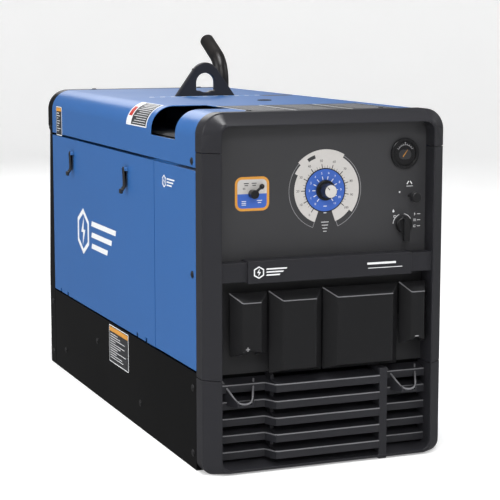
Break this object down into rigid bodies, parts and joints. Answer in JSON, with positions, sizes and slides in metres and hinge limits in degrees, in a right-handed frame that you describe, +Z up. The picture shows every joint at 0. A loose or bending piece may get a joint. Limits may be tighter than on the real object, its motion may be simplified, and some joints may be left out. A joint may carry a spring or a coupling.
{
  "type": "engine driven welder",
  "caption": "Blue and black engine driven welder generator with hinged service door, swinging receptacle covers, control dial, lifting eye and exhaust stack.",
  "frame": {"origin": "on the floor, in the middle of the case's width and length", "axes": "+Z up, control panel faces -Y, +X to the right of someone facing the panel"},
  "size_m": [0.5265, 1.143, 0.8266],
  "materials": {
    "bezel": "textured satin moulding",
    "control_face": "fine texture",
    "panel_steel": "satin",
    "cover_plastic": "textured",
    "blue_paint": "satin powder coat",
    "black_paint": "satin powder coat",
    "exhaust_steel": "heat resistant satin",
    "tank_plastic": "moulded",
    "cap_plastic": "ribbed",
    "rubber": "matt",
    "knob_plastic": "smooth",
    "gauge_plastic": "smooth",
    "zinc_steel": "zinc plated",
    "brass": "turned",
    "insulator": "moulded",
    "button_red": "smooth",
    "cast_aluminium": "cast",
    "machined_steel": "machined",
    "stator_steel": "varnished",
    "engine_black": "satin"
  },
  "bodies": {
    "root": {"air_cleaner": "engine_black", "base_pan": "black_paint", "battery": "insulator", "bezel_middle": "bezel", "bezel_top": "bezel", "blower_housing": "engine_black", "carburettor": "cast_aluminium", "case_screws": "zinc_steel", "circuit_breakers": "insulator", "control_panel": "control_face", "cover_hinge_pins": "zinc_steel", "cylinder_barrels": "cast_aluminium", "cylinder_heads": "cast_aluminium", "dipstick_tube": "zinc_steel", "door_hinge_pins": "zinc_steel", "duplex_receptacle": "insulator", "engine_crankcase": "cast_aluminium", "engine_mounts": "rubber", "exhaust_pipe": "exhaust_steel", "fuel_gauge": "gauge_plastic", "fuel_tank": "tank_plastic", "generator_adapter": "cast_aluminium", "generator_end_bell": "cast_aluminium", "generator_stator": "stator_steel", "left_front_panel": "blue_paint", "lift_frame": "black_paint", "lifting_bail": "black_paint", "lower_grille": "bezel", "muffler": "exhaust_steel", "oil_filter": "engine_black", "power_receptacle": "insulator", "rear_panel": "black_paint", "receptacle_panel": "panel_steel", "right_side_panel": "blue_paint", "rotor_bearing": "machined_steel", "starter_motor": "engine_black", "stud_insulators": "insulator", "stud_nuts": "brass", "top_cover": "blue_paint", "weld_reactor": "stator_steel", "weld_studs": "brass"},
    "side_door": {"side_door": "blue_paint"},
    "latch_front": {"latch_front": "zinc_steel"},
    "latch_rear": {"latch_rear": "zinc_steel"},
    "terminal_cover_left": {"terminal_cover_left": "cover_plastic"},
    "receptacle_cover_left": {"receptacle_cover_left": "cover_plastic"},
    "receptacle_cover_right": {"receptacle_cover_right": "cover_plastic"},
    "terminal_cover_right": {"terminal_cover_right": "cover_plastic"},
    "test_button": {"test_button": "button_red"},
    "reset_button": {"reset_button": "button_red"},
    "output_knob": {"output_knob": "knob_plastic"},
    "process_knob": {"process_knob": "knob_plastic"},
    "engine_switch": {"engine_switch": "knob_plastic"},
    "choke_knob": {"choke_knob": "knob_plastic"},
    "fuel_cap_gasket": {"fuel_cap_gasket": "rubber"},
    "fuel_cap": {"fuel_cap": "cap_plastic"},
    "crankshaft": {"crankshaft": "machined_steel", "generator_rotor": "machined_steel", "flywheel_fan": "machined_steel"},
    "dipstick": {"dipstick": "zinc_steel"}
  },
  "joints": [
    {"name": "door_hinge", "type": "hinge", "parent": "root", "child": "side_door", "pos_m": [-0.2475, 0, 0.2], "axis": [0, -1, 0], "range_deg": [0, 95]},
    {"name": "latch_front_pull", "type": "hinge", "parent": "side_door", "child": "latch_front", "pos_m": [-0.259, -0.0845, 0.549], "axis": [0, 1, 0], "range_deg": [0, 60]},
    {"name": "latch_rear_pull", "type": "hinge", "parent": "side_door", "child": "latch_rear", "pos_m": [-0.259, 0.3415, 0.549], "axis": [0, 1, 0], "range_deg": [0, 60]},
    {"name": "terminal_cover_left_hinge", "type": "hinge", "parent": "root", "child": "terminal_cover_left", "pos_m": [0, -0.5515, 0.334], "axis": [-1, 0, 0], "range_deg": [0, 100]},
    {"name": "receptacle_cover_left_hinge", "type": "hinge", "parent": "root", "child": "receptacle_cover_left", "pos_m": [0, -0.5515, 0.334], "axis": [-1, 0, 0], "range_deg": [0, 100]},
    {"name": "receptacle_cover_right_hinge", "type": "hinge", "parent": "root", "child": "receptacle_cover_right", "pos_m": [0, -0.5515, 0.334], "axis": [-1, 0, 0], "range_deg": [0, 100]},
    {"name": "terminal_cover_right_hinge", "type": "hinge", "parent": "root", "child": "terminal_cover_right", "pos_m": [0, -0.5515, 0.334], "axis": [-1, 0, 0], "range_deg": [0, 100]},
    {"name": "test_button_press", "type": "slide", "parent": "root", "child": "test_button", "axis": [0, 1, 0], "range_m": [0, 0.002], "stiffness_N_per_m": 400},
    {"name": "reset_button_press", "type": "slide", "parent": "root", "child": "reset_button", "axis": [0, 1, 0], "range_m": [0, 0.002], "stiffness_N_per_m": 400},
    {"name": "output_turn", "type": "hinge", "parent": "root", "child": "output_knob", "pos_m": [0.004, -0.5365, 0.537], "axis": [0, 1, 0], "range_deg": [-150, 150]},
    {"name": "process_turn", "type": "hinge", "parent": "root", "child": "process_knob", "pos_m": [-0.148, -0.5365, 0.536], "axis": [0, 1, 0], "range_deg": [-100, 0]},
    {"name": "engine_switch_turn", "type": "hinge", "parent": "root", "child": "engine_switch", "pos_m": [0.172, -0.5365, 0.463], "axis": [0, 1, 0], "range_deg": [-60, 60]},
    {"name": "choke_pull", "type": "slide", "parent": "root", "child": "choke_knob", "axis": [0, -1, 0], "range_m": [0, 0.025]},
    {"name": "fuel_cap_lift", "type": "slide", "parent": "root", "child": "fuel_cap_gasket", "axis": [0, 0, 1], "range_m": [0, 0.06]},
    {"name": "fuel_cap_turn", "type": "hinge", "parent": "fuel_cap_gasket", "child": "fuel_cap", "pos_m": [-0.178, -0.3455, 0.66], "axis": [0, 0, 1], "range_deg": [0, 90]},
    {"name": "crank_spin", "type": "hinge", "parent": "root", "child": "crankshaft", "pos_m": [0, -0.1715, 0.3], "axis": [0, 1, 0], "continuous": true},
    {"name": "dipstick_pull", "type": "slide", "parent": "root", "child": "dipstick", "axis": [0, 0, 1], "range_m": [0, 0.06]}
  ]
}
